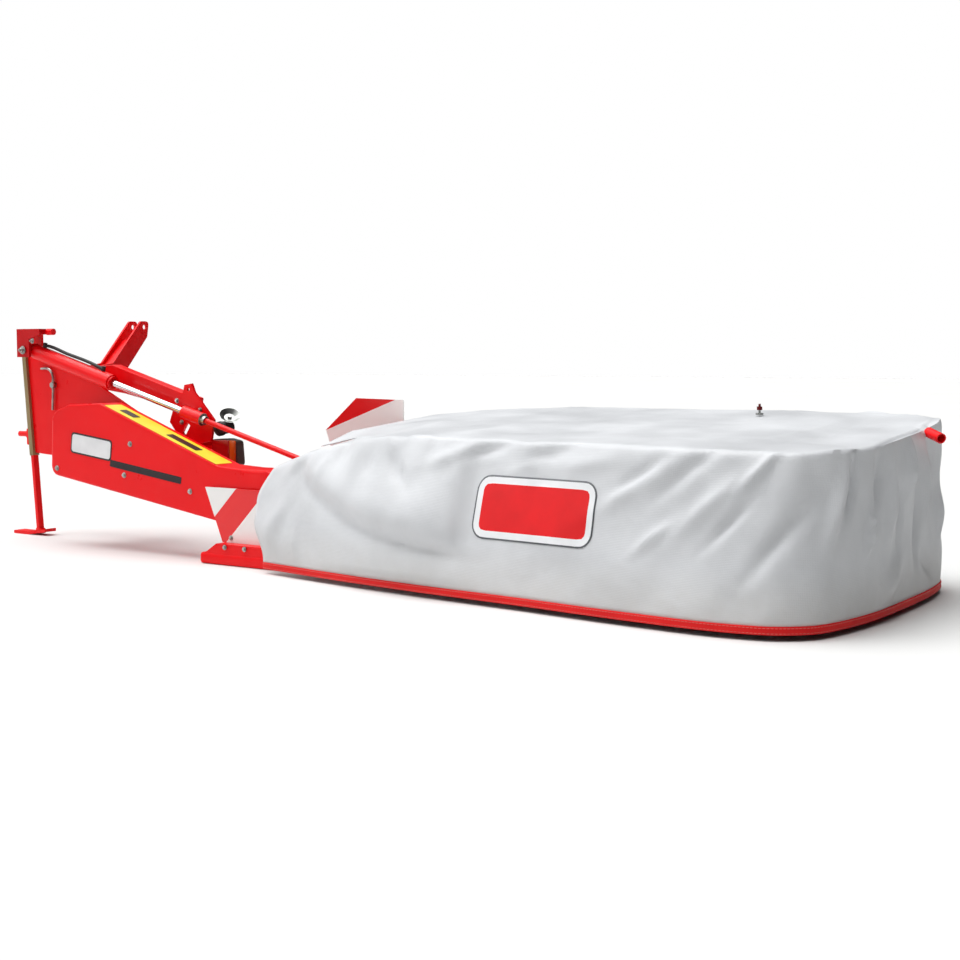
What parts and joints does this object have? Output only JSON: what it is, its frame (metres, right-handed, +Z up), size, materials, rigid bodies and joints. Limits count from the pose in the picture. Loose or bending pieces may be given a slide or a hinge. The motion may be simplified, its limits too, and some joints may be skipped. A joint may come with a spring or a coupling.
{
  "type": "disc mower",
  "caption": "Side-mounted disc mower with belt-drive arm, folding cutterbar under a fabric cover, three-point headstock and parking stand.",
  "frame": {"origin": "on the ground, at the middle of the whole machine's bounding box seen from above", "axes": "+X outward along the cutterbar, to the machine's right; +Y forward, the way it is driven; +Z up"},
  "size_m": [4.6954, 1.596, 1.09],
  "materials": {
    "machine_red": "gloss sprayed enamel on steel",
    "bare_steel": "zinc-plated or machined steel",
    "hard_chrome": "polished hard chrome on the piston rod",
    "black_rubber": "moulded black rubber",
    "black_plastic": "moulded lamp case",
    "faded_guide": "dull olive-beige painted tube",
    "cover_fabric": "light grey coated woven tarpaulin"
  },
  "bodies": {
    "headstock": {"headstock_plate": "machine_red", "headstock_boom": "machine_red", "lift_bracket": "machine_red", "top_link_mast": "machine_red", "bearing_tube": "machine_red", "hitch_pin_left": "machine_red", "hitch_pin_right": "machine_red", "stand_guide": "faded_guide", "cylinder_anchor": "machine_red", "lock_knob": "machine_red", "hanger_rod": "bare_steel", "rear_lamp": "black_plastic", "lamp_bracket": "machine_red", "fold_buffer": "black_rubber"},
    "parking_stand": {"parking_stand": "machine_red"},
    "input_shaft": {"input_shaft": "bare_steel"},
    "lift_barrel": {"lift_barrel": "machine_red", "lift_hose": "black_rubber"},
    "lift_rod": {"lift_rod": "hard_chrome"},
    "drive_arm": {"belt_housing": "machine_red", "arm_beam": "machine_red", "arm_hub": "machine_red", "fold_shaft": "bare_steel"},
    "mower_bar": {"cutterbar": "machine_red", "bevel_gearbox": "machine_red", "hinge_bracket": "machine_red", "inner_shoe": "machine_red", "guard_plate": "machine_red", "outer_shoe": "machine_red", "swath_board": "machine_red", "cover_frame": "machine_red", "tarpaulin": "cover_fabric", "cover_hem": "machine_red", "cover_end_tube": "machine_red", "cover_latch": "bare_steel", "sign_plate": "machine_red", "skid_1": "machine_red", "skid_2": "machine_red", "skid_3": "machine_red", "skid_4": "machine_red", "skid_5": "machine_red", "skid_6": "machine_red"},
    "disc_1": {"disc_1": "machine_red"},
    "disc_2": {"disc_2": "machine_red"},
    "disc_3": {"disc_3": "machine_red"},
    "disc_4": {"disc_4": "machine_red"},
    "disc_5": {"disc_5": "machine_red"},
    "disc_6": {"disc_6": "machine_red"}
  },
  "joints": [
    {"name": "stand_slide", "type": "slide", "parent": "headstock", "child": "parking_stand", "axis": [-0.0824, 0, 0.9966], "range_m": [0, 0.36]},
    {"name": "input_shaft_spin", "type": "hinge", "parent": "headstock", "child": "input_shaft", "pos_m": [-1.54768, -0.025, 0.5], "axis": [0, 1, 0], "continuous": true},
    {"name": "arm_float", "type": "hinge", "parent": "headstock", "child": "drive_arm", "pos_m": [-1.54768, -0.025, 0.5], "axis": [0, -1, 0], "range_deg": [-10, 20]},
    {"name": "barrel_swing", "type": "hinge", "parent": "headstock", "child": "lift_barrel", "pos_m": [-2.11768, -0.175, 0.94], "axis": [0, -1, 0], "range_deg": [-6.7, 13.3]},
    {"name": "rod_slide", "type": "slide", "parent": "lift_barrel", "child": "lift_rod", "axis": [0.9642, 0, -0.2652], "range_m": [-0.24, 0.04]},
    {"name": "bar_fold", "type": "hinge", "parent": "drive_arm", "child": "mower_bar", "pos_m": [-0.40768, -0.025, 0.33], "axis": [0, -1, 0], "range_deg": [-10, 90]},
    {"name": "disc_1_spin", "type": "hinge", "parent": "mower_bar", "child": "disc_1", "pos_m": [-0.02268, -0.025, 0.12], "axis": [0, 0, 1], "continuous": true},
    {"name": "disc_2_spin", "type": "hinge", "parent": "mower_bar", "child": "disc_2", "pos_m": [0.36732, -0.025, 0.12], "axis": [0, 0, 1], "continuous": true},
    {"name": "disc_3_spin", "type": "hinge", "parent": "mower_bar", "child": "disc_3", "pos_m": [0.75732, -0.025, 0.12], "axis": [0, 0, 1], "continuous": true},
    {"name": "disc_4_spin", "type": "hinge", "parent": "mower_bar", "child": "disc_4", "pos_m": [1.14732, -0.025, 0.12], "axis": [0, 0, 1], "continuous": true},
    {"name": "disc_5_spin", "type": "hinge", "parent": "mower_bar", "child": "disc_5", "pos_m": [1.53732, -0.025, 0.12], "axis": [0, 0, 1], "continuous": true},
    {"name": "disc_6_spin", "type": "hinge", "parent": "mower_bar", "child": "disc_6", "pos_m": [1.92732, -0.025, 0.12], "axis": [0, 0, 1], "continuous": true}
  ],
  "couplings": [
    {"joint": "barrel_swing", "follows": "arm_float", "ratio": 0.66},
    {"joint": "rod_slide", "follows": "bar_fold", "m_per_rad": -0.1477},
    {"joint": "input_shaft_spin", "follows": "disc_1_spin", "ratio": 0.18},
    {"joint": "disc_2_spin", "follows": "disc_1_spin", "ratio": -1},
    {"joint": "disc_3_spin", "follows": "disc_1_spin", "ratio": 1},
    {"joint": "disc_4_spin", "follows": "disc_1_spin", "ratio": -1},
    {"joint": "disc_5_spin", "follows": "disc_1_spin", "ratio": 1},
    {"joint": "disc_6_spin", "follows": "disc_1_spin", "ratio": -1}
  ]
}
